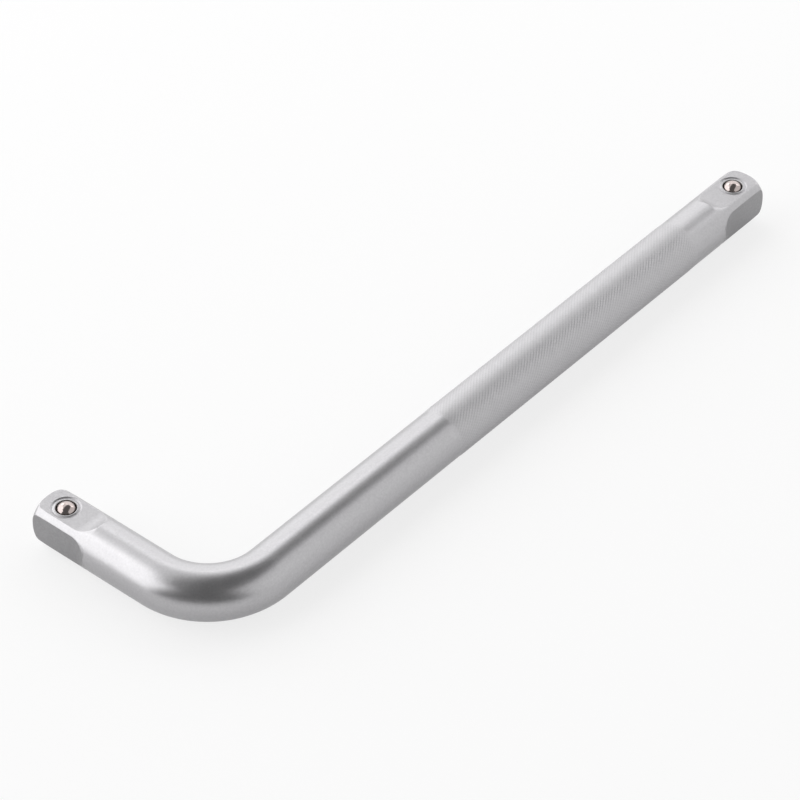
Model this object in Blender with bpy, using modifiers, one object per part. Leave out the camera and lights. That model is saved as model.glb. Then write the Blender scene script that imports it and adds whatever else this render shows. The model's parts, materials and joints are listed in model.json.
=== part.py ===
"""L-handle socket wrench: one round steel bar bent at a right angle, with a square drive on each end.

The wrench lies flat. +X runs along the long arm, +Y along the short arm and +Z out of the flats that
hold the detent balls. The origin is the middle of the bounding box, at the surface it lies on.
Everything is in metres.
"""

import math

import bmesh
import bpy
from mathutils import Matrix, Vector

# Bar
BAR_DIAMETER = 0.0160
LONG_REACH = 0.2480
SHORT_REACH = 0.0713
BEND_RADIUS = 0.0216

# Long arm: a plain shank after the bend, a knurled grip that the rolling has raised, and a plain collar
SHANK_LENGTH = 0.0729
GRIP_RAISE = 0.0001
GRIP_EDGE = 0.0006
COLLAR_LENGTH = 0.0195

# Square drives
DRIVE_ACROSS_FLATS = 0.0127
DRIVE_LENGTH = 0.0155
RUNOUT_RADIUS = 0.0105
TIP_ROUND_LENGTH = 0.0024
TIP_ROUND_DROP = 0.0026
TIP_TAPER_LENGTH = 0.0030
TIP_TAPER_DROP = 0.0001

# Detent balls, and the staked rim that keeps each in its hole
BALL_DIAMETER = 0.0060
BALL_PROUD = 0.0014
BALL_FROM_TIP = 0.0076
RIM_DEPTH = 0.0006
STAKE_RING_DIAMETER = 0.0082
STAKE_RING_WIDTH = 0.0005
STAKE_RING_DEPTH = 0.0002

# Blind holes under the balls
HOLE_DEPTH = 0.0092
DRILL_POINT_SLOPE = math.radians(20)

# Springs
SPRING_WIRE = 0.0005
SPRING_TURNS = 5
SPRING_END_TURNS = 1

# Clearances and the overrun of every cut
SEAT_GAP = 0.0003
HOLE_CLEARANCE = 0.00025
SPRING_CLEARANCE = 0.0008
CLOSED_TURN_GAP = 0.00012
OVERRUN = 0.0020

# Facets
BAR_BEVEL_RESOLUTION = 22
BEND_STEPS = 20
TIP_ROUND_STEPS = 4
RUNOUT_STEPS = 10
TURNED_STEPS = 32
BALL_SEGMENTS = 32
BALL_RINGS = 16
SPRING_STEPS_PER_TURN = 16
SPRING_BEVEL_RESOLUTION = 2
MERGE_DISTANCE = 0.000001
SHARP_ANGLE = math.radians(30)

# Places that follow from the sizes
BAR_RADIUS = BAR_DIAMETER / 2
GRIP_RADIUS = BAR_RADIUS + GRIP_RAISE
BALL_RADIUS = BALL_DIAMETER / 2
HOLE_RADIUS = BALL_RADIUS + HOLE_CLEARANCE
HALF_FLATS = DRIVE_ACROSS_FLATS / 2
LONG_ARM = LONG_REACH - BAR_RADIUS
SHORT_ARM = SHORT_REACH - BAR_RADIUS
CORNER = Vector((BAR_RADIUS - LONG_REACH / 2, (GRIP_RADIUS - SHORT_ARM) / 2, GRIP_RADIUS))
ALONG_LONG = Vector((1, 0, 0))
ALONG_SHORT = Vector((0, 1, 0))
LONG_TIP = CORNER + ALONG_LONG * LONG_ARM
SHORT_TIP = CORNER + ALONG_SHORT * SHORT_ARM
FLAT_HEIGHT = CORNER.z + HALF_FLATS
BALL_SINK = BALL_RADIUS - BALL_PROUD

COLLECTION = "l_handle_socket_wrench"
CUTTERS = "cutters"


def clear_scene():
    for thing in list(bpy.data.objects):
        bpy.data.objects.remove(thing)


def make_collection(name):
    collection = bpy.data.collections.new(name)
    bpy.context.scene.collection.children.link(collection)
    return collection


def make_material(name, colour, roughness, metallic=1.0):
    material = bpy.data.materials.new(name)
    material.use_nodes = True
    shader = material.node_tree.nodes["Principled BSDF"]
    shader.inputs["Base Color"].default_value = (*colour, 1.0)
    shader.inputs["Roughness"].default_value = roughness
    shader.inputs["Metallic"].default_value = metallic
    return material


def place(name, data, collection, location=(0, 0, 0), turn=None):
    thing = bpy.data.objects.new(name, data)
    collection.objects.link(thing)
    thing.matrix_world = Matrix.Translation(location) @ (turn or Matrix())
    return thing


def place_cutter(name, data, location, turn=None):
    cutter = place(name, data, bpy.data.collections[CUTTERS], location, turn)
    cutter.hide_render = True
    cutter.display_type = "WIRE"
    return cutter


def smooth(mesh):
    mesh.shade_smooth()
    mesh.set_sharp_from_angle(angle=SHARP_ANGLE)


def mesh_from_curve(curve):
    """The closed mesh of a curve, with its caps welded. The curve is removed."""
    holder = bpy.data.objects.new(curve.name, curve)
    bpy.context.scene.collection.objects.link(holder)
    bpy.context.view_layer.update()
    evaluated = holder.evaluated_get(bpy.context.evaluated_depsgraph_get())
    mesh = bpy.data.meshes.new_from_object(evaluated)
    bpy.data.objects.remove(holder)
    bpy.data.curves.remove(curve)
    welded = bmesh.new()
    welded.from_mesh(mesh)
    bmesh.ops.remove_doubles(welded, verts=welded.verts, dist=MERGE_DISTANCE)
    bmesh.ops.recalc_face_normals(welded, faces=welded.faces)
    welded.to_mesh(mesh)
    welded.free()
    return mesh


def tube_curve(name, points, radii, bevel_depth, bevel_resolution):
    """A round tube along points, whose radius at each point is given in metres."""
    curve = bpy.data.curves.new(name, "CURVE")
    curve.dimensions = "3D"
    curve.twist_mode = "Z_UP"
    curve.bevel_depth = bevel_depth
    curve.bevel_resolution = bevel_resolution
    curve.use_fill_caps = True
    spline = curve.splines.new("POLY")
    spline.points.add(len(points) - 1)
    for spot, point, radius in zip(spline.points, points, radii):
        spot.co = (*point, 1)
        spot.radius = radius / bevel_depth
    return curve


def turned_mesh(name, profile, closed=False):
    """The outline that a Screw modifier turns about Z, as (radius, height) pairs from top to bottom."""
    mesh = bpy.data.meshes.new(name)
    edges = [(i, i + 1) for i in range(len(profile) - 1)]
    if closed:
        edges.append((len(profile) - 1, 0))
    mesh.from_pydata([(radius, 0, height) for radius, height in profile], edges, [])
    return mesh


def turn(thing):
    screw = thing.modifiers.new("turned", "SCREW")
    screw.axis = "Z"
    screw.angle = math.tau
    screw.steps = TURNED_STEPS
    screw.render_steps = TURNED_STEPS
    screw.use_merge_vertices = True
    screw.merge_threshold = MERGE_DISTANCE
    return thing


def cut(thing, cutter):
    boolean = thing.modifiers.new(cutter.name, "BOOLEAN")
    boolean.operation = "DIFFERENCE"
    boolean.solver = "EXACT"
    boolean.object = cutter


def tip_outline():
    """Distance from the tip and bar radius, from the end face back past the drive's run-outs."""
    taper_radius = BAR_RADIUS - TIP_TAPER_DROP
    outline = []
    for step in range(TIP_ROUND_STEPS + 1):
        angle = math.pi / 2 * step / TIP_ROUND_STEPS
        distance = TIP_ROUND_LENGTH * (1 - math.cos(angle))
        radius = taper_radius - TIP_ROUND_DROP * (1 - math.sin(angle))
        outline.append((distance, radius))
    outline.append((TIP_ROUND_LENGTH + TIP_TAPER_LENGTH, BAR_RADIUS))
    outline.append((DRIVE_LENGTH + RUNOUT_RADIUS, BAR_RADIUS))
    return outline


def bar_stations():
    """Points down the bar's centre line from the short tip to the long tip, each with its radius."""
    stations = [(SHORT_TIP - ALONG_SHORT * distance, radius) for distance, radius in tip_outline()]
    centre = CORNER + (ALONG_LONG + ALONG_SHORT) * BEND_RADIUS
    for step in range(BEND_STEPS + 1):
        angle = math.pi / 2 * step / BEND_STEPS
        spot = centre - (ALONG_LONG * math.cos(angle) + ALONG_SHORT * math.sin(angle)) * BEND_RADIUS
        stations.append((spot, BAR_RADIUS))
    grip_start = BEND_RADIUS + SHANK_LENGTH
    grip_end = LONG_ARM - DRIVE_LENGTH - COLLAR_LENGTH
    stations.append((CORNER + ALONG_LONG * grip_start, BAR_RADIUS))
    stations.append((CORNER + ALONG_LONG * (grip_start + GRIP_EDGE), GRIP_RADIUS))
    stations.append((CORNER + ALONG_LONG * (grip_end - GRIP_EDGE), GRIP_RADIUS))
    stations.append((CORNER + ALONG_LONG * grip_end, BAR_RADIUS))
    for distance, radius in reversed(tip_outline()):
        stations.append((LONG_TIP - ALONG_LONG * distance, radius))
    return stations


def flat_cutter(name, tip, back, side):
    """Removes one flat of a square drive, with the round run-out that the milling cutter leaves.

    back points from the tip towards the bend, and side out of the flat.
    """
    height = BAR_RADIUS + OVERRUN - HALF_FLATS
    sweep = math.acos(max(0, 1 - height / RUNOUT_RADIUS))
    outline = [(-OVERRUN, HALF_FLATS + height), (-OVERRUN, HALF_FLATS)]
    for step in range(RUNOUT_STEPS + 1):
        angle = sweep * step / RUNOUT_STEPS
        along = DRIVE_LENGTH + RUNOUT_RADIUS * math.sin(angle)
        outline.append((along, HALF_FLATS + RUNOUT_RADIUS * (1 - math.cos(angle))))
    if RUNOUT_RADIUS < height:
        outline.append((DRIVE_LENGTH + RUNOUT_RADIUS, HALF_FLATS + height))
    curve = bpy.data.curves.new(name, "CURVE")
    curve.dimensions = "2D"
    curve.fill_mode = "BOTH"
    curve.extrude = BAR_RADIUS + OVERRUN
    spline = curve.splines.new("POLY")
    spline.points.add(len(outline) - 1)
    for spot, (along, out) in zip(spline.points, outline):
        spot.co = (along, out, 0, 1)
    spline.use_cyclic_u = True
    across = back.cross(side)
    axes = Matrix((back, side, across)).transposed().to_4x4()
    return place_cutter(name, mesh_from_curve(curve), tip, axes)


def hole_cutter(name, spot):
    """The blind hole under a ball: staked rim, plain bore and drill point. spot is on the flat."""
    seat_reach = BALL_RADIUS + SEAT_GAP
    rim_radius = math.sqrt(seat_reach ** 2 - BALL_SINK ** 2)
    point_depth = HOLE_DEPTH + HOLE_RADIUS * math.tan(DRILL_POINT_SLOPE)
    profile = [
        (0, OVERRUN),
        (rim_radius, OVERRUN),
        (rim_radius, 0),
        (HOLE_RADIUS, -RIM_DEPTH),
        (HOLE_RADIUS, -HOLE_DEPTH),
        (0, -point_depth),
    ]
    return turn(place_cutter(name, turned_mesh(name, profile), spot))


def stake_ring_cutter(name, spot):
    """The shallow ring that the staking punch leaves round the hole."""
    middle = STAKE_RING_DIAMETER / 2
    profile = [
        (middle + STAKE_RING_WIDTH, STAKE_RING_DEPTH),
        (middle, -STAKE_RING_DEPTH),
        (middle - STAKE_RING_WIDTH, STAKE_RING_DEPTH),
    ]
    return turn(place_cutter(name, turned_mesh(name, profile, closed=True), spot))


def ball_spot(tip, back):
    """The point on the upward flat above a ball's centre."""
    spot = tip + back * BALL_FROM_TIP
    return Vector((spot.x, spot.y, FLAT_HEIGHT))


def make_bar(collection, material, ends):
    stations = bar_stations()
    points = [point for point, _ in stations]
    radii = [radius for _, radius in stations]
    curve = tube_curve("handle_bar", points, radii, BAR_RADIUS, BAR_BEVEL_RESOLUTION)
    bar = place("handle_bar", mesh_from_curve(curve), collection)
    bar.data.materials.append(material)
    smooth(bar.data)
    for end, (tip, back) in ends.items():
        for quarter in range(4):
            side = Matrix.Rotation(math.pi / 2 * quarter, 3, back) @ Vector((0, 0, 1))
            cut(bar, flat_cutter(f"{end}_flat_{quarter}", tip, back, side))
        spot = ball_spot(tip, back)
        cut(bar, hole_cutter(f"{end}_hole", spot))
        cut(bar, stake_ring_cutter(f"{end}_stake_ring", spot))
    return bar


def make_ball(name, collection, material, spot):
    """A detent ball, with its origin on the line it slides along."""
    mesh = bpy.data.meshes.new(name)
    shape = bmesh.new()
    bmesh.ops.create_uvsphere(shape, u_segments=BALL_SEGMENTS, v_segments=BALL_RINGS, radius=BALL_RADIUS)
    shape.to_mesh(mesh)
    shape.free()
    mesh.materials.append(material)
    smooth(mesh)
    return place(name, mesh, collection, spot - Vector((0, 0, BALL_SINK)))


def spring_points():
    """The spring's wire from its seat in the drill point up to the ball, with closed turns at both ends."""
    wire_radius = SPRING_WIRE / 2
    radius = HOLE_RADIUS - SPRING_CLEARANCE - wire_radius
    closed_pitch = SPRING_WIRE + CLOSED_TURN_GAP
    cone_depth = HOLE_DEPTH + (HOLE_RADIUS - radius) * math.tan(DRILL_POINT_SLOPE)
    bottom = (wire_radius + SEAT_GAP) / math.cos(DRILL_POINT_SLOPE) - cone_depth
    reach = BALL_RADIUS + SEAT_GAP + wire_radius
    top = -BALL_SINK - math.sqrt(reach ** 2 - radius ** 2)
    open_turns = SPRING_TURNS - 2 * SPRING_END_TURNS
    open_pitch = (top - bottom - 2 * SPRING_END_TURNS * closed_pitch) / open_turns
    points = []
    for step in range(SPRING_TURNS * SPRING_STEPS_PER_TURN + 1):
        turns = step / SPRING_STEPS_PER_TURN
        closed = min(turns, SPRING_END_TURNS) + max(turns - SPRING_END_TURNS - open_turns, 0)
        height = bottom + closed * closed_pitch + (turns - closed) * open_pitch
        angle = math.tau * turns
        points.append(Vector((radius * math.cos(angle), radius * math.sin(angle), height)))
    return points


def make_spring(name, collection, material, spot):
    points = spring_points()
    radii = [SPRING_WIRE / 2] * len(points)
    curve = tube_curve(name, points, radii, SPRING_WIRE / 2, SPRING_BEVEL_RESOLUTION)
    spring = place(name, mesh_from_curve(curve), collection, spot)
    spring.data.materials.append(material)
    smooth(spring.data)
    return spring


def build():
    clear_scene()
    parts = make_collection(COLLECTION)
    make_collection(CUTTERS)
    satin = make_material("satin_chrome", (0.48, 0.48, 0.485), 0.36)
    polished = make_material("polished_ball", (0.46, 0.40, 0.385), 0.12)
    spring_steel = make_material("spring_steel", (0.42, 0.42, 0.44), 0.30)
    ends = {"short_end": (SHORT_TIP, -ALONG_SHORT), "long_end": (LONG_TIP, -ALONG_LONG)}
    make_bar(parts, satin, ends)
    for end, (tip, back) in ends.items():
        spot = ball_spot(tip, back)
        make_ball(f"{end}_ball", parts, polished, spot)
        make_spring(f"{end}_spring", parts, spring_steel, spot)


build()
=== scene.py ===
"""An L-shaped socket wrench handle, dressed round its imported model.

The bar is one mesh: two square drives with staked ball holes, a bend, a plain shank, a knurled grip
and a plain collar. The balls are polished, and their springs sit in the holes. Lengths are in metres.
"""

import json
import math

import bmesh
import bpy
import numpy as np
from mathutils import Matrix, Vector


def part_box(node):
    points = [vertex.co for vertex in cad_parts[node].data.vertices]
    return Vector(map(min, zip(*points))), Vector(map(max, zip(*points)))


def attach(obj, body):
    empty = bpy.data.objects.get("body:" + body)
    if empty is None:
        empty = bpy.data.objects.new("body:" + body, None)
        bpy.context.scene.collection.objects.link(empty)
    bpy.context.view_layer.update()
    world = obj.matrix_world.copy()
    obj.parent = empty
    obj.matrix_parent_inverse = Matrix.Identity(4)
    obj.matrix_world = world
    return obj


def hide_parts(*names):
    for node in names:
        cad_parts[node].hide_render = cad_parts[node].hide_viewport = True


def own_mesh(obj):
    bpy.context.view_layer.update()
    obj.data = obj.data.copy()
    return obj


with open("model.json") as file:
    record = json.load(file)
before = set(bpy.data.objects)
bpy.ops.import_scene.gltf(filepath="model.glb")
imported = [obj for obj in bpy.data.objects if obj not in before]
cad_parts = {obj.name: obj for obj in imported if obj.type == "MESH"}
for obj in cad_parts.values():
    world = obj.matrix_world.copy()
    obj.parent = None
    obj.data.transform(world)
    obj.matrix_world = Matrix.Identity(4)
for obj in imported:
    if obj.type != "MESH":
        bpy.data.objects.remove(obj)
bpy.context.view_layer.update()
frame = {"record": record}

# Bar
BAR_RADIUS = 0.0080
BEND_RADIUS = 0.0216
SHANK_LENGTH = 0.0729
COLLAR_LENGTH = 0.0195

# Square drives
DRIVE_LENGTH = 0.0155
RUNOUT_RADIUS = 0.0105
TIP_ROUND_LENGTH = 0.0024
TIP_ROUND_DROP = 0.0026
TIP_TAPER_LENGTH = 0.0030
TIP_TAPER_DROP = 0.0001

# Rounding of the flats' edges. It starts to grow at its lead before the run-out.
EDGE_ROUNDING = 0.0003
RUNOUT_ROUNDING = 0.0005
ROUNDING_LEAD = 0.0030
ROUNDING_GROWTH_LENGTH = 0.0050

# Knurl. The diamonds' flat tops take these shares of the pitch, across the deep grooves and the other ones.
KNURL_STARTS = 48
KNURL_ANGLE = math.radians(38)
KNURL_DEPTH = 0.00008
KNURL_OTHER_DEPTH = 0.000065
KNURL_TOP_SHARES = (0.36, 0.42)
KNURL_FADE = 0.0030

# Ball holes: radius and height above the flat, from the flat inwards to the drill point. The steel is bare
# inside the lip and below the bore's top, and darkened there as painted shade in the hole.
HOLE_RINGS = (
    (0.00455, 0), (0.00442, 0), (0.00434, -0.00003), (0.00416, -0.00014), (0.00402, -0.00022),
    (0.00394, -0.00024), (0.00384, -0.00021), (0.00362, -0.00011), (0.00335, -0.00003),
    (0.00318, -0.00001), (0.00311, -0.00004), (0.00303, -0.00013), (0.00294, -0.00025),
    (0.00290, -0.00036), (0.00325, -0.00060), (0.00325, -0.00500), (0.00325, -0.00920),
    (0.0008, -0.01009),
)
DRILL_POINT_HEIGHT = -0.01039
LIP_RADIUS = 0.00310
BORE_TOP = -0.0005
HOLE_SIDES = 96

# Springs
SPRING_WIRE_RADIUS = 0.00025
SPRING_TURNS = 5
SPRING_END_TURNS = 1
CLOSED_PITCH = 0.00062

# Rings of a drive: degrees round the tip's rounding, distances from the tip beside the hole and after it,
# degrees from a flat's middle to its edge as it runs out, and gaps from the last of those
TIP_RING_DEGREES = (0.5, 6, 11, 15, 18, 20.5, 22.5, 24, 25.5, 27.5, 30, 33, 37, 42, 48, 55, 63, 72, 81)
HOLE_ROWS = (0.0029, 0.0034, 0.0042, 0.00525, 0.0063, 0.00735, 0.0084, 0.00945, 0.0105, 0.01155, 0.0126)
FLAT_END_ROWS = (0.0136, 0.0146)
RUNOUT_RING_DEGREES = (37.4, 35, 32, 29, 26, 23, 20, 17, 14, 11, 8.5, 6, 4, 2)
LAST_RING_GAPS = (0.00003, 0.00007, 0.00014, 0.0003)

# Steps of a drive's ring: from a flat's middle to its edge, over the edge, and round the corner. The band
# over the edge reaches this far to each side, and the edge stays at least this far from the flat's middle.
FLAT_STEPS = 8
EDGE_STEPS = 4
CORNER_STEPS = 4
EDGE_BAND = math.radians(0.9)
LEAST_EDGE_ANGLE = math.radians(6)

# Other facets. A plain ring lies this gap from each drive's last ring and from each end of the grip.
RING_SIDES = 96
PLAIN_RING_GAP = 0.0006
BEND_STEPS = 60
BALL_SEGMENTS = 64
SPRING_STEPS_PER_TURN = 32
SPRING_BEVEL_STEPS = 3
WELD_DISTANCE = 0.000001

# Finding a drive's surface
HALVINGS = 40
SLOPE_REACH = 0.000001
NORMAL_REACH = 0.000002
FLAT_TOLERANCE = EDGE_ROUNDING / 50
NEARLY_ZERO = 1e-9

# Kinds of surface on the bar, in the order of its materials
SATIN, KNURL, PAINTED_SHADE_GROOVE, FLAT, PAINTED_SHADE_SIDE_FLAT, PAINTED_SHADE_BORE = range(6)

# Finishes: dark tone, light tone, and least and greatest roughness
SATIN_FINISH = ((0.440, 0.434, 0.446), (0.510, 0.504, 0.516), (0.31, 0.35))
CREST_FINISH = ((0.505, 0.499, 0.511), (0.545, 0.539, 0.551), (0.48, 0.54))
# The flanks along the deep grooves are darker than the crests as painted shade in the grooves.
PAINTED_SHADE_GROOVE_FINISH = ((0.465, 0.459, 0.471), (0.505, 0.499, 0.511), (0.48, 0.54))
BALL_FLAT_FINISH = ((0.380, 0.374, 0.385), (0.444, 0.438, 0.449), (0.36, 0.44))
# The side flats' tones are painted shade: the ball flats' milled plate, darkened where the flats face
# sideways.
PAINTED_SHADE_SIDE_FLAT_FINISH = ((0.296, 0.292, 0.300), (0.366, 0.362, 0.370), (0.36, 0.44))
# The bore's tones are bare steel darkened as painted shade in the hole and under the lip.
PAINTED_SHADE_BORE_FINISH = ((0.10, 0.095, 0.09), (0.22, 0.21, 0.20), (0.4, 0.6))
BALL_FINISH = ((0.43, 0.37, 0.355), (0.49, 0.43, 0.415), (0.13, 0.19))
SPRING_FINISH = ((0.34, 0.34, 0.36), (0.46, 0.46, 0.48), (0.25, 0.4))

# Patterns: scales of noise, with the cutter's along and across the bar, and heights of bumps
MOTTLE_SCALE = 300
SPECKLE_SCALE = 1500
GRAIN_SCALE = 3600
CUTTER_SCALES = (220, 1900)
BORE_SCALE = 1500
BALL_SCALE = 700
WIRE_SCALE = 2500
GRAIN_HEIGHT = 0.000013
KNURL_GRAIN_HEIGHT = 0.000012
CUTTER_HEIGHT = 0.00004

# Ranges of noise that a tone or a roughness follows
MIDDLE = (0.3, 0.7)
UPPER_MIDDLE = (0.35, 0.75)
WHOLE = (0, 1)

# Floor and room. Each of these kinds of ray sees the floor as white by its share.
FLOOR_SIZE = 8
FLOOR_TONE = (0.93, 0.93, 0.93)
FLOOR_WHITE_SHARES = {"Is Camera Ray": 0.75, "Is Glossy Ray": 0.4, "Is Transmission Ray": 0.4}
ROOM_LEVEL = 0.16

# Lamps: name, azimuth and elevation in degrees, width, height, and how bright the face looks
LAMP_DISTANCE = 1.5
SOFTBOXES = (
    ("back_box", 30, 27, 3.0, 1.5, 1.35),
    ("left_box", 120, 27, 3.0, 1.5, 1.95),
    ("right_box", 300, 27, 3.0, 1.5, 0.85),
    ("top_box", 90, 63, 2.0, 0.6, 1.0),
)

# The photograph's camera: where it looks, in degrees, and its place from the corner of the arms' axes
CAMERA_AZIMUTH, CAMERA_ELEVATION, CAMERA_ROLL = 40.9395, -41.7963, -0.6040
CAMERA_BACK, CAMERA_RIGHT, CAMERA_UP = 1.042909, 0.050161, 0.058228
CAMERA_LENS_MM, CAMERA_SENSOR_MM = 173.313, 36
PHOTO_PIXELS = 800

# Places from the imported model
LOW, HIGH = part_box("handle_bar")
GRIP_RADIUS = (HIGH.z - LOW.z) / 2
CORNER = Vector((LOW.x + BAR_RADIUS, LOW.y + GRIP_RADIUS, LOW.z + GRIP_RADIUS))
LONG_ARM = HIGH.x - CORNER.x
SHORT_ARM = HIGH.y - CORNER.y
MOUNTS = {mount["name"]: mount for mount in frame["record"]["mounts"]}
HALF_FLATS = CORNER.z - MOUNTS["long_drive_under_flat"]["pos_m"][2]
X, Y, Z = Vector((1, 0, 0)), Vector((0, 1, 0)), Vector((0, 0, 1))


# Helpers

def steps(start, end, count):
    """Evenly spread values from start up to, but without, end."""
    return list(np.linspace(start, end, count, endpoint=False))


def smooth(share):
    """A share from 0 to 1, made to start and end gently."""
    return share * share * (3 - 2 * share)


def direction(azimuth_degrees, elevation_degrees):
    """A unit vector by its azimuth from +X and its elevation."""
    azimuth, elevation = math.radians(azimuth_degrees), math.radians(elevation_degrees)
    level = math.cos(elevation)
    return Vector((math.cos(azimuth) * level, math.sin(azimuth) * level, math.sin(elevation)))


def add_object(name, data):
    """A new object in the scene."""
    thing = bpy.data.objects.new(name, data)
    bpy.context.scene.collection.objects.link(thing)
    return thing


def ball_centre(node):
    low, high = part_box(node)
    return (low + high) / 2


class Skin:
    """The points and faces of a mesh, while rings are added to it and joined."""

    def __init__(self):
        self.points, self.normals, self.faces, self.kinds = [], [], [], []

    def ring(self, points, normals=None):
        """Adds points and returns their indices. Those without normals are shaded from their faces."""
        first = len(self.points)
        self.points.extend(points)
        self.normals.extend([(0, 0, 0)] * len(points) if normals is None else normals)
        return list(range(first, first + len(points)))

    def face(self, corners, kind):
        self.faces.append(corners)
        self.kinds.append(kind)

    def band(self, near, far, kind):
        """Quads between two rings of as many points."""
        count = len(near)
        for this in range(count):
            after = (this + 1) % count
            self.face((near[this], near[after], far[after], far[this]), kind)

    def zipper(self, near, near_angles, far, far_angles, kind):
        """Triangles between two rings whose points lie at unlike, rising angles."""
        i = j = 0
        while i < len(near) or j < len(far):
            next_near = near_angles[i + 1] if i + 1 < len(near) else near_angles[0] + math.tau
            next_far = far_angles[j + 1] if j + 1 < len(far) else far_angles[0] + math.tau
            near_point, far_point = near[i % len(near)], far[j % len(far)]
            if j == len(far) or (i < len(near) and next_near <= next_far):
                self.face((near_point, near[(i + 1) % len(near)], far_point), kind)
                i += 1
            else:
                self.face((near_point, far[(j + 1) % len(far)], far_point), kind)
                j += 1

    def fan(self, centre, ring, kind):
        """Triangles from one point to a ring."""
        for this, point in enumerate(ring):
            self.face((centre, point, ring[(this + 1) % len(ring)]), kind)

    def drop_unused(self):
        """Leaves out the points that no face uses."""
        used = sorted({corner for corners in self.faces for corner in corners})
        place = {old: new for new, old in enumerate(used)}
        self.points = [self.points[old] for old in used]
        self.normals = [self.normals[old] for old in used]
        self.faces = [tuple(place[corner] for corner in corners) for corners in self.faces]


# Shape of a drive end

def bar_radius(distance):
    """The bar's radius at a distance from its tip, without the flats."""
    taper_radius = BAR_RADIUS - TIP_TAPER_DROP
    inside = np.clip(1 - distance / TIP_ROUND_LENGTH, 0, 1)
    rounded = taper_radius - TIP_ROUND_DROP * (1 - np.sqrt(1 - inside ** 2))
    taper = TIP_TAPER_DROP * np.clip((distance - TIP_ROUND_LENGTH) / TIP_TAPER_LENGTH, 0, 1)
    return rounded + taper


def flat_height(distance):
    """The height of a flat over the bar's axis, with its run-out."""
    past = np.clip(distance - DRIVE_LENGTH, 0, RUNOUT_RADIUS)
    return HALF_FLATS + RUNOUT_RADIUS - np.sqrt(RUNOUT_RADIUS ** 2 - past ** 2)


def slope(outline, distance):
    """How steeply an outline rises along the bar."""
    before, after = np.maximum(distance - SLOPE_REACH, 0), distance + SLOPE_REACH
    return (outline(after) - outline(before)) / (2 * SLOPE_REACH)


def rounding(distance):
    """The radius of the edges, which the blasting softens most where the flats run out."""
    share = np.clip((distance - DRIVE_LENGTH + ROUNDING_LEAD) / ROUNDING_GROWTH_LENGTH, 0, 1)
    return EDGE_ROUNDING + (RUNOUT_ROUNDING - EDGE_ROUNDING) * smooth(share)


def joined(one, other, cos_between, radius):
    """The larger of two distances, with the edge between their surfaces rounded."""
    turn = np.arccos(np.clip(cos_between, -1, 1))
    width = radius * turn ** 2 / 2 + NEARLY_ZERO
    return np.maximum(one, other) + np.maximum(width - np.abs(one - other), 0) ** 2 / (4 * width)


def outside(x, y, distance):
    """How far a point lies outside a drive end: x and y from the axis, distance from the tip."""
    radius = np.hypot(x, y) + NEARLY_ZERO
    bar_slope, flat_slope = slope(bar_radius, distance), slope(flat_height, distance)
    bar_lean, flat_lean = 1 / np.sqrt(1 + bar_slope ** 2), 1 / np.sqrt(1 + flat_slope ** 2)
    value = (radius - bar_radius(distance)) * bar_lean
    for height in (np.abs(x), np.abs(y)):
        flat = (height - flat_height(distance)) * flat_lean
        cos_between = bar_lean * flat_lean * (height / radius + bar_slope * flat_slope)
        value = joined(value, flat, cos_between, rounding(distance))
    return value


def drive_radius(angles, distance):
    """The radius of a drive end at each angle, found by halving."""
    low = np.full(len(angles), BAR_RADIUS / 2)
    high = np.full(len(angles), BAR_RADIUS * 1.1)
    for _ in range(HALVINGS):
        middle = (low + high) / 2
        within = outside(middle * np.sin(angles), middle * np.cos(angles), distance) < 0
        low, high = np.where(within, middle, low), np.where(within, high, middle)
    return (low + high) / 2


def drive_normals(x, y, distance):
    """The outward direction of a drive end's surface, as x, y and away from the tip."""
    reach = NORMAL_REACH
    away = np.array([
        outside(x + reach, y, distance) - outside(x - reach, y, distance),
        outside(x, y + reach, distance) - outside(x, y - reach, distance),
        outside(x, y, distance + reach) - outside(x, y, np.maximum(distance - reach, 0)),
    ]).T
    return away / np.linalg.norm(away, axis=1)[:, None]


def edge_angle(distance):
    """The angle from a flat's middle to its edge."""
    share = flat_height(distance) / np.maximum(bar_radius(distance), NEARLY_ZERO)
    return math.acos(min(share, math.cos(LEAST_EDGE_ANGLE)))


def drive_angles(distance):
    """A ring's angles from +Z, with more of them where the flats meet the bar's round."""
    edge, next_edge = edge_angle(distance), math.pi / 2 - edge_angle(distance)
    quarter = (
        steps(0, edge - EDGE_BAND, FLAT_STEPS)
        + steps(edge - EDGE_BAND, edge + EDGE_BAND, EDGE_STEPS)
        + steps(edge + EDGE_BAND, next_edge - EDGE_BAND, CORNER_STEPS)
        + steps(next_edge - EDGE_BAND, next_edge + EDGE_BAND, EDGE_STEPS)
        + steps(next_edge + EDGE_BAND, math.pi / 2, FLAT_STEPS)
    )
    return np.array([turn * math.pi / 2 + angle for turn in range(4) for angle in quarter])


def drive_distances():
    """Where the rings of a drive lie, from the tip to past the run-out."""
    tip = [TIP_ROUND_LENGTH * (1 - math.cos(math.radians(degrees))) for degrees in TIP_RING_DEGREES]
    runout = []
    for degrees in RUNOUT_RING_DEGREES:
        rise = BAR_RADIUS * math.cos(math.radians(degrees)) - HALF_FLATS
        past = math.sqrt(max(RUNOUT_RADIUS ** 2 - (RUNOUT_RADIUS - rise) ** 2, 0))
        runout.append(DRIVE_LENGTH + past)
    last = [runout[-1] + gap for gap in LAST_RING_GAPS]
    return [*tip, TIP_ROUND_LENGTH, *HOLE_ROWS, *FLAT_END_ROWS, *runout, *last]


# Mesh of the bar

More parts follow.
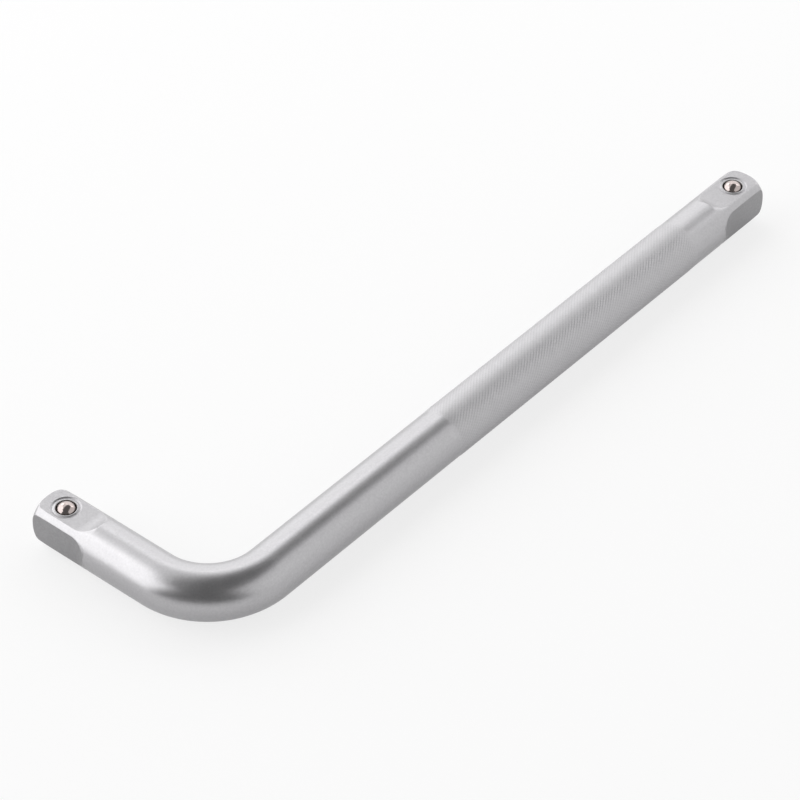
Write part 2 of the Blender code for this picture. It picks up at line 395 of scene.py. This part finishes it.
def drive_ring(skin, tip, back, side, distance):
    """One ring of a drive end, and a 1 for each of its points that lies on a flat, or else a 0.

    Its angles rise from +Z towards side.
    """
    angles = drive_angles(distance)
    radius = drive_radius(angles, distance)
    across, up = radius * np.sin(angles), radius * np.cos(angles)
    away = drive_normals(across, up, distance)
    centre = np.array(tip + back * distance)
    points = centre + np.outer(across, side) + np.outer(up, Z)
    normals = np.outer(away[:, 0], side) + np.outer(away[:, 1], Z) + np.outer(away[:, 2], back)
    height = np.maximum(np.abs(across), np.abs(up))
    flat = np.abs(height - flat_height(distance)) < FLAT_TOLERANCE
    flat &= bar_radius(distance) > flat_height(distance)
    return skin.ring(points, normals), flat.astype(int)


def drive_end(skin, tip, back, side, ball):
    """A whole drive end, as its rings from the tip inwards.

    back points from the tip along the bar. Corners are taken in reverse where side lies the other way, so
    that every face looks outwards.
    """
    distances = drive_distances()
    rings = [drive_ring(skin, tip, back, side, distance) for distance in distances]
    hole_start, hole_end = distances.index(HOLE_ROWS[0]), distances.index(HOLE_ROWS[-1])
    forwards = back.cross(Z).dot(side) > 0
    for row, ((near, near_flat), (far, far_flat)) in enumerate(zip(rings, rings[1:])):
        count = len(near)
        # The ball's flat comes first, and is left open round the hole
        for this in range(-FLAT_STEPS, count - FLAT_STEPS):
            if this < FLAT_STEPS and hole_start <= row < hole_end:
                continue
            after = (this + 1) % count
            kind = SATIN
            on_flat = near_flat[this] + near_flat[after] + far_flat[this] + far_flat[after] >= 3
            if on_flat:
                quarter = (this % count + count // 8) // (count // 4)
                # The flats that face sideways take the darker material, which is painted shade.
                kind = PAINTED_SHADE_SIDE_FLAT if quarter % 2 else FLAT
            corners = (near[this], near[after], far[after], far[this])
            skin.face(corners if forwards else corners[::-1], kind)
    rings = [ring for ring, _ in rings]
    flat_places = range(-FLAT_STEPS, FLAT_STEPS + 1)
    border = [ring[place] for ring in (rings[hole_start], rings[hole_end]) for place in flat_places]
    for ring in rings[hole_start + 1:hole_end]:
        border += [ring[-FLAT_STEPS], ring[FLAT_STEPS]]
    ball_hole(skin, border, ball)
    end_disc(skin, rings[0], tip, back, forwards)
    return rings


def end_disc(skin, rim, tip, back, forwards):
    """The flat end of a drive."""
    centre = skin.ring([tip], [tuple(-back)])[0]
    skin.fan(centre, rim[::-1] if forwards else rim, SATIN)


def ball_hole(skin, border, ball):
    """The staked hole in a flat, from the border of the flat that it lies in down to the drill point."""
    middle = Vector((ball.x, ball.y, CORNER.z + HALF_FLATS))

    def bearing(index):
        return math.atan2(skin.points[index][1] - middle.y, skin.points[index][0] - middle.x) % math.tau

    border.sort(key=bearing)
    angles = [math.tau * side / HOLE_SIDES for side in range(HOLE_SIDES)]
    rings = []
    for radius, height in HOLE_RINGS:
        rings.append(skin.ring([
            (middle.x + radius * math.cos(angle), middle.y + radius * math.sin(angle), middle.z + height)
            for angle in angles
        ]))
    skin.zipper(border, [bearing(index) for index in border], rings[0], angles, FLAT)
    for near, far, (radius, height) in zip(rings, rings[1:], HOLE_RINGS[1:]):
        skin.band(near, far, PAINTED_SHADE_BORE if radius < LIP_RADIUS or height < BORE_TOP else FLAT)
    point = skin.ring([(middle.x, middle.y, middle.z + DRILL_POINT_HEIGHT)])[0]
    skin.fan(point, rings[-1], PAINTED_SHADE_BORE)


def plain_ring(skin, centre, along):
    """A ring of the plain bar. Its angles rise from +Z towards the bend's outer side."""
    angles = steps(0, math.tau, RING_SIDES)
    away = np.outer(np.cos(angles), Z) + np.outer(np.sin(angles), along.cross(Z))
    return skin.ring(np.array(centre) + BAR_RADIUS * away, away)


class Knurl:
    """The grip's truncated diamonds, on a lattice of columns round the bar and rows along it.

    Grooves cross where column and row are both even or both odd, and a diamond's middle lies at each
    other place. The deep grooves rise from right to left, and the shallower ones from left to right.
    """

    def __init__(self, skin, start, along, length):
        self.skin, self.start, self.along, self.length = skin, start, along, length
        self.side = along.cross(Z)
        self.columns = 2 * KNURL_STARTS
        self.column_angle = math.pi / KNURL_STARTS
        half_pitch = GRIP_RADIUS * self.column_angle / math.tan(KNURL_ANGLE)
        self.rows = round(length / half_pitch)
        self.row_step = length / self.rows
        self.crossings, self.slants = {}, {}

    def spot(self, column, row, depth):
        """A place on the lattice. depth is 0 on a crest and 1 at the bottom of a deep groove."""
        place = row * self.row_step
        fade = smooth(min(max(min(place, self.length - place) / KNURL_FADE, 0), 1))
        radius = BAR_RADIUS + (GRIP_RADIUS - BAR_RADIUS - KNURL_DEPTH * depth) * fade
        angle = column * self.column_angle
        away = math.cos(angle) * Z + math.sin(angle) * self.side
        return self.start + self.along * place + away * radius

    def crossing(self, column, row):
        return self.crossings[column % self.columns, row]

    def slant(self, column, row):
        """The two points along a shallower groove, from one crossing to the next."""
        return self.slants[column % self.columns, row]

    def end_ring(self, row):
        """The first or the last row, which the plain bar joins."""
        return [self.crossing(column, row) for column in range(self.columns)]

    def end_angles(self):
        return [column * self.column_angle for column in range(self.columns)]

    def add(self):
        """Adds the whole knurl to the skin."""
        self.add_grooves()
        for row in range(self.rows + 1):
            for column in range((row + 1) % 2, self.columns, 2):
                if row == 0:
                    self.add_first_half(column)
                elif row == self.rows:
                    self.add_last_half(column)
                else:
                    self.add_diamond(column, row)

    def add_grooves(self):
        """Adds the points where grooves cross, and where a shallower one meets a deep one's flanks."""
        deep_top, _ = KNURL_TOP_SHARES
        depth = KNURL_OTHER_DEPTH / KNURL_DEPTH
        meeting = deep_top + (1 - deep_top) * depth
        shares = ((1 - meeting) / 2, (1 + meeting) / 2)
        for row in range(self.rows + 1):
            for column in range(self.columns):
                crosses = (column + row) % 2 == 0
                if crosses or row in (0, self.rows):
                    self.crossings[column, row] = self.skin.ring([self.spot(column, row, 1)])[0]
                if crosses and row < self.rows:
                    spots = [self.spot(column + share, row + share, depth) for share in shares]
                    self.slants[column, row] = self.skin.ring(spots)

    def add_first_half(self, column):
        """The half diamond that rises from the plain bar at the grip's start."""
        left, middle, right = (self.crossing(column + shift, 0) for shift in (-1, 0, 1))
        upper = self.crossing(column, 1)
        upper_left, upper_right = self.slant(column - 1, 0)
        self.skin.face((left, middle, upper, upper_right, upper_left), KNURL)
        self.skin.face((middle, right, upper), KNURL)

    def add_last_half(self, column):
        """The half diamond that falls to the plain bar at the grip's end."""
        left, middle, right = (self.crossing(column + shift, self.rows) for shift in (-1, 0, 1))
        lower = self.crossing(column, self.rows - 1)
        lower_left, lower_right = self.slant(column, self.rows - 1)
        self.skin.face((lower, middle, left), KNURL)
        self.skin.face((lower, lower_left, lower_right, right, middle), KNURL)

    def add_diamond(self, column, row):
        """A diamond's flat top and its four flanks. Those along the deep grooves take a darker tone, which
        is painted shade in the grooves.
        """
        left, right = self.crossing(column - 1, row), self.crossing(column + 1, row)
        lower, upper = self.crossing(column, row - 1), self.crossing(column, row + 1)
        lower_left, lower_right = self.slant(column, row - 1)
        upper_left, upper_right = self.slant(column - 1, row)
        deep_top, other_top = KNURL_TOP_SHARES
        far, near = (deep_top + other_top) / 2, (deep_top - other_top) / 2
        shifts = ((far, near), (near, far), (-far, -near), (-near, -far))
        top = self.skin.ring([self.spot(column + across, row + up, 0) for across, up in shifts])
        self.skin.face((right, upper, upper_right, top[1], top[0], lower_right), PAINTED_SHADE_GROOVE)
        self.skin.face((upper_right, upper_left, top[2], top[1]), KNURL)
        self.skin.face((left, lower, lower_left, top[3], top[2], upper_left), PAINTED_SHADE_GROOVE)
        self.skin.face((lower_left, lower_right, top[0], top[3]), KNURL)
        self.skin.face(tuple(top), KNURL)


def bar_skin():
    """The whole bar, from the short drive round the bend to the long drive."""
    skin = Skin()
    last_distance = drive_distances()[-1]
    drive_end_angles = list(drive_angles(last_distance))
    plain_angles = steps(0, math.tau, RING_SIDES)
    short_tip, long_tip = CORNER + Y * SHORT_ARM, CORNER + X * LONG_ARM
    short_rings = drive_end(skin, short_tip, -Y, (-Y).cross(Z), ball_centre("short_end_ball"))
    long_rings = drive_end(skin, long_tip, -X, X.cross(Z), ball_centre("long_end_ball"))

    past_drive = last_distance + PLAIN_RING_GAP
    last = plain_ring(skin, short_tip - Y * past_drive, -Y)
    skin.zipper(short_rings[-1], drive_end_angles, last, plain_angles, SATIN)
    turn_centre = CORNER + (X + Y) * BEND_RADIUS
    for step in range(BEND_STEPS + 1):
        angle = math.pi / 2 * step / BEND_STEPS
        spoke = -X * math.cos(angle) - Y * math.sin(angle)
        along = X * math.sin(angle) - Y * math.cos(angle)
        ring = plain_ring(skin, turn_centre + spoke * BEND_RADIUS, along)
        skin.band(last, ring, SATIN)
        last = ring

    grip_start = CORNER + X * (BEND_RADIUS + SHANK_LENGTH)
    grip_length = LONG_ARM - DRIVE_LENGTH - COLLAR_LENGTH - BEND_RADIUS - SHANK_LENGTH
    before_grip = plain_ring(skin, grip_start - X * PLAIN_RING_GAP, X)
    skin.band(last, before_grip, SATIN)
    grip = Knurl(skin, grip_start, X, grip_length)
    grip.add()
    skin.zipper(before_grip, plain_angles, grip.end_ring(0), grip.end_angles(), SATIN)
    after_grip = plain_ring(skin, grip_start + X * (grip_length + PLAIN_RING_GAP), X)
    skin.zipper(grip.end_ring(grip.rows), grip.end_angles(), after_grip, plain_angles, SATIN)
    before_drive = plain_ring(skin, long_tip - X * past_drive, X)
    skin.band(after_grip, before_drive, SATIN)
    skin.zipper(before_drive, plain_angles, long_rings[-1], drive_end_angles, SATIN)
    skin.drop_unused()
    return skin


def bar_object(name, skin, materials):
    """The bar, shaded by the skin's own normals."""
    mesh = bpy.data.meshes.new(name)
    mesh.from_pydata([tuple(point) for point in skin.points], [], skin.faces)
    for material in materials:
        mesh.materials.append(material)
    mesh.polygons.foreach_set("material_index", skin.kinds)
    mesh.shade_smooth()
    mesh.update()
    mesh.normals_split_custom_set_from_vertices([tuple(normal) for normal in skin.normals])
    return add_object(name, mesh)


# Balls and springs

def ball_object(name, node, material):
    """A detent ball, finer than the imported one."""
    centre = ball_centre(node)
    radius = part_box(node)[1].z - centre.z
    shape = bmesh.new()
    bmesh.ops.create_uvsphere(shape, u_segments=BALL_SEGMENTS, v_segments=BALL_SEGMENTS // 2, radius=radius)
    bmesh.ops.translate(shape, verts=shape.verts, vec=centre)
    points = [tuple(corner.co) for corner in shape.verts]
    # Sorted, because the sphere's faces come in another order each run
    faces = sorted([corner.index for corner in face.verts] for face in shape.faces)
    shape.free()
    mesh = bpy.data.meshes.new(name)
    mesh.from_pydata(points, [], faces)
    mesh.materials.append(material)
    mesh.shade_smooth()
    return add_object(name, mesh)


def spring_line(node):
    """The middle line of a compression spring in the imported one's place, with closed end turns."""
    low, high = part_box(node)
    centre = (low + high) / 2
    radius = (high.x - low.x) / 2 - SPRING_WIRE_RADIUS
    bottom, top = low.z + SPRING_WIRE_RADIUS, high.z - SPRING_WIRE_RADIUS
    open_turns = SPRING_TURNS - 2 * SPRING_END_TURNS
    open_pitch = (top - bottom - 2 * SPRING_END_TURNS * CLOSED_PITCH) / open_turns
    points = []
    for step in range(SPRING_TURNS * SPRING_STEPS_PER_TURN + 1):
        turns = step / SPRING_STEPS_PER_TURN
        closed = min(turns, SPRING_END_TURNS) + max(turns - SPRING_END_TURNS - open_turns, 0)
        height = bottom + closed * CLOSED_PITCH + (turns - closed) * open_pitch
        angle = math.tau * turns
        points.append((centre.x + radius * math.cos(angle), centre.y + radius * math.sin(angle), height))
    return points


def spring_object(name, node, material):
    """A spring's wire, swept along its middle line."""
    points = spring_line(node)
    curve = bpy.data.curves.new(name, "CURVE")
    curve.dimensions = "3D"
    curve.bevel_depth = SPRING_WIRE_RADIUS
    curve.bevel_resolution = SPRING_BEVEL_STEPS
    curve.use_fill_caps = True
    wire = curve.splines.new("POLY")
    wire.points.add(len(points) - 1)
    for spot, point in zip(wire.points, points):
        spot.co = (*point, 1)
    holder = add_object(name, curve)
    bpy.context.view_layer.update()
    evaluated = holder.evaluated_get(bpy.context.evaluated_depsgraph_get())
    mesh = bpy.data.meshes.new_from_object(evaluated)
    bpy.data.objects.remove(holder)
    bpy.data.curves.remove(curve)
    welded = bmesh.new()
    welded.from_mesh(mesh)
    bmesh.ops.remove_doubles(welded, verts=welded.verts, dist=WELD_DISTANCE)
    welded.to_mesh(mesh)
    welded.free()
    mesh.materials.clear()
    mesh.materials.append(material)
    mesh.shade_smooth()
    return add_object(name, mesh)


# Materials

class Graph:
    """A material's nodes, added one by one."""

    def __init__(self, name):
        self.material = bpy.data.materials.new(name)
        self.material.use_nodes = True
        self.tree = self.material.node_tree
        self.shader = self.tree.nodes["Principled BSDF"]
        self.place = self.add("ShaderNodeTexCoord").outputs["Object"]

    def add(self, kind, **settings):
        node = self.tree.nodes.new(kind)
        for name, value in settings.items():
            setattr(node, name, value)
        return node

    def join(self, output, socket):
        self.tree.links.new(output, socket)

    def noise(self, scale, detail, roughness=0.5, place=None):
        node = self.add("ShaderNodeTexNoise")
        node.inputs["Scale"].default_value = scale
        node.inputs["Detail"].default_value = detail
        node.inputs["Roughness"].default_value = roughness
        self.join(place or self.place, node.inputs["Vector"])
        return node.outputs["Fac"]

    def along_bar(self, along, across):
        """The place, scaled by one value along the arm that it lies on and by another across it."""
        arms = []
        for scale in ((across, along, across), (along, across, across)):
            node = self.add("ShaderNodeMapping")
            node.inputs["Scale"].default_value = scale
            self.join(self.place, node.inputs["Vector"])
            arms.append(node.outputs["Vector"])
        split = self.add("ShaderNodeSeparateXYZ")
        self.join(self.place, split.inputs["Vector"])
        on_long_arm = self.add("ShaderNodeMath", operation="GREATER_THAN")
        on_long_arm.inputs[1].default_value = 0
        self.join(split.outputs["X"], on_long_arm.inputs[0])
        node = self.add("ShaderNodeMix", data_type="VECTOR")
        self.join(on_long_arm.outputs["Value"], node.inputs["Factor"])
        for vector, name in zip(arms, "AB"):
            self.join(vector, node.inputs[name])
        return node.outputs["Result"]

    def spread(self, value, source, target):
        """A value that crosses the target range while another crosses the source range."""
        node = self.add("ShaderNodeMapRange")
        for name, number in zip(("From Min", "From Max", "To Min", "To Max"), (*source, *target)):
            node.inputs[name].default_value = number
        self.join(value, node.inputs["Value"])
        return node.outputs["Result"]

    def tones(self, value, dark, light):
        """A colour between two tones as value goes from 0 to 1."""
        node = self.add("ShaderNodeMix", data_type="RGBA")
        node.inputs["A"].default_value = (*dark, 1)
        node.inputs["B"].default_value = (*light, 1)
        self.join(value, node.inputs["Factor"])
        return node.outputs["Result"]

    def speckled(self, dark, light):
        """The plate's colour, speckled between two tones."""
        speckle = self.noise(SPECKLE_SCALE, detail=4, roughness=0.7)
        return self.tones(self.spread(speckle, MIDDLE, WHOLE), dark, light)

    def grain(self, height, under=None):
        """The finest bumps of the blast, over other bumps if there are any."""
        return self.bump(self.noise(GRAIN_SCALE, detail=3, roughness=0.6), height, under)

    def bump(self, pattern, height, under=None):
        node = self.add("ShaderNodeBump")
        node.inputs["Distance"].default_value = height
        self.join(pattern, node.inputs["Height"])
        if under:
            self.join(under, node.inputs["Normal"])
        return node.outputs["Normal"]

    def metal(self, colour, roughness, normal=None):
        """The finished material."""
        self.shader.inputs["Metallic"].default_value = 1.0
        self.join(colour, self.shader.inputs["Base Color"])
        self.join(roughness, self.shader.inputs["Roughness"])
        if normal:
            self.join(normal, self.shader.inputs["Normal"])
        return self.material


def satin_chrome(dark, light, roughness):
    """Chrome over a fine blast: an even satin with a faint mottle, speckle and grain."""
    graph = Graph("satin_chrome")
    mottle = graph.spread(graph.noise(MOTTLE_SCALE, detail=4, roughness=0.6), MIDDLE, roughness)
    return graph.metal(graph.speckled(dark, light), mottle, graph.grain(GRAIN_HEIGHT))


def knurl_chrome(name, dark, light, roughness):
    """The same plate on the rolled diamonds, where it is duller."""
    graph = Graph(name)
    mottle = graph.spread(graph.noise(MOTTLE_SCALE, detail=3, roughness=0.6), MIDDLE, roughness)
    return graph.metal(graph.speckled(dark, light), mottle, graph.grain(KNURL_GRAIN_HEIGHT))


def flat_chrome(name, dark, light, roughness):
    """The plate on the milled flats, which shows the cutter's marks along the bar."""
    graph = Graph(name)
    marks = graph.noise(scale=1, detail=3, roughness=0.6, place=graph.along_bar(*CUTTER_SCALES))
    normal = graph.grain(GRAIN_HEIGHT, under=graph.bump(marks, CUTTER_HEIGHT))
    return graph.metal(graph.speckled(dark, light), graph.spread(marks, MIDDLE, roughness), normal)


def painted_shade_bore_steel(dark, light, roughness):
    """Bare drilled steel in the ball holes, darkened as painted shade in the holes."""
    graph = Graph("painted_shade_bore_steel")
    mottle = graph.noise(BORE_SCALE, detail=3)
    return graph.metal(graph.tones(mottle, dark, light), graph.spread(mottle, WHOLE, roughness))


def ball_steel(dark, light, roughness):
    """Polished, slightly warm steel with faint rubbing marks."""
    graph = Graph("ball_steel")
    marks = graph.noise(BALL_SCALE, detail=4, roughness=0.6)
    return graph.metal(graph.tones(marks, dark, light), graph.spread(marks, UPPER_MIDDLE, roughness))


def spring_steel(dark, light, roughness):
    """Bare drawn wire."""
    graph = Graph("spring_steel")
    drawn = graph.noise(WIRE_SCALE, detail=3)
    return graph.metal(graph.tones(drawn, dark, light), graph.spread(drawn, WHOLE, roughness))


# Stage, lights and camera

def floor_material():
    """A pale floor that keeps the shadow, mixed with white by each ray's share."""
    material = bpy.data.materials.new("pale_floor")
    material.use_nodes = True
    tree = material.node_tree
    tree.nodes.remove(tree.nodes["Principled BSDF"])
    pale = tree.nodes.new("ShaderNodeBsdfDiffuse")
    pale.inputs["Color"].default_value = (*FLOOR_TONE, 1)
    white = tree.nodes.new("ShaderNodeEmission")
    white.inputs["Color"].default_value = (1, 1, 1, 1)
    path = tree.nodes.new("ShaderNodeLightPath")
    share = None
    for ray, level in FLOOR_WHITE_SHARES.items():
        part = tree.nodes.new("ShaderNodeMath")
        part.operation = "MULTIPLY"
        part.inputs[1].default_value = level
        tree.links.new(path.outputs[ray], part.inputs[0])
        largest = tree.nodes.new("ShaderNodeMath")
        largest.operation = "MAXIMUM"
        tree.links.new(part.outputs[0], largest.inputs[0])
        tree.links.new(share or part.outputs[0], largest.inputs[1])
        share = largest.outputs[0]
    mix = tree.nodes.new("ShaderNodeMixShader")
    tree.links.new(share, mix.inputs[0])
    tree.links.new(pale.outputs[0], mix.inputs[1])
    tree.links.new(white.outputs[0], mix.inputs[2])
    tree.links.new(mix.outputs[0], tree.nodes["Material Output"].inputs["Surface"])
    return material


def floor():
    bpy.ops.mesh.primitive_plane_add(size=FLOOR_SIZE)
    plane = bpy.context.active_object
    plane.name = "floor"
    plane.data.materials.append(floor_material())


def room():
    """A dim, even room round the lamps."""
    world = bpy.data.worlds.new("room")
    world.use_nodes = True
    bpy.context.scene.world = world
    back = world.node_tree.nodes["Background"]
    back.inputs["Color"].default_value = (1, 1, 1, 1)
    back.inputs["Strength"].default_value = ROOM_LEVEL


def softbox(name, azimuth, elevation, width, height, level):
    """An area lamp that faces the bar. level is how bright its face looks, where 1 is white."""
    lamp = bpy.data.lights.new(name, "AREA")
    lamp.shape = "RECTANGLE"
    lamp.size, lamp.size_y = width, height
    lamp.energy = level * math.pi * width * height
    thing = add_object(name, lamp)
    towards = direction(azimuth, elevation)
    thing.location = towards * LAMP_DISTANCE
    thing.rotation_euler = towards.to_track_quat("Z", "Y").to_euler()


def camera():
    """The photograph's camera."""
    forward = direction(CAMERA_AZIMUTH, CAMERA_ELEVATION)
    level_right = forward.cross(Z).normalized()
    level_up = level_right.cross(forward)
    roll = math.radians(CAMERA_ROLL)
    right = math.cos(roll) * level_right + math.sin(roll) * level_up
    up = math.cos(roll) * level_up - math.sin(roll) * level_right
    half_pixel = 0.5 / PHOTO_PIXELS
    data = bpy.data.cameras.new("camera")
    data.lens, data.sensor_width = CAMERA_LENS_MM, CAMERA_SENSOR_MM
    data.shift_x, data.shift_y = -half_pixel, half_pixel
    thing = add_object("camera", data)
    matrix = Matrix((right, up, -forward)).transposed().to_4x4()
    matrix.translation = CORNER - forward * CAMERA_BACK + right * CAMERA_RIGHT + up * CAMERA_UP
    thing.matrix_world = matrix
    bpy.context.scene.camera = thing


# The object

bar_materials = [
    satin_chrome(*SATIN_FINISH),
    knurl_chrome("knurl_crest_chrome", *CREST_FINISH),
    # The deep grooves' flanks: the plate darkened as painted shade
    knurl_chrome("knurl_groove_painted_shade_chrome", *PAINTED_SHADE_GROOVE_FINISH),
    flat_chrome("ball_flat_chrome", *BALL_FLAT_FINISH),
    # The side flats: the same plate darkened as painted shade
    flat_chrome("side_flat_painted_shade_chrome", *PAINTED_SHADE_SIDE_FLAT_FINISH),
    # The ball holes: bare steel darkened as painted shade
    painted_shade_bore_steel(*PAINTED_SHADE_BORE_FINISH),
]
bar = bar_object("bar_finish", bar_skin(), bar_materials)
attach(bar, "wrench")
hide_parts("handle_bar")

polished, wire_steel = ball_steel(*BALL_FINISH), spring_steel(*SPRING_FINISH)
for end in ("short", "long"):
    ball = ball_object(f"{end}_ball_finish", f"{end}_end_ball", polished)
    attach(ball, f"{end}_ball")
    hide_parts(f"{end}_end_ball")
    spring = spring_object(f"{end}_spring_finish", f"{end}_end_spring", wire_steel)
    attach(spring, "wrench")
    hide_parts(f"{end}_end_spring")
    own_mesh(spring)

floor()
room()
for box in SOFTBOXES:
    softbox(*box)
camera()
bpy.context.scene.view_settings.view_transform = "Standard"
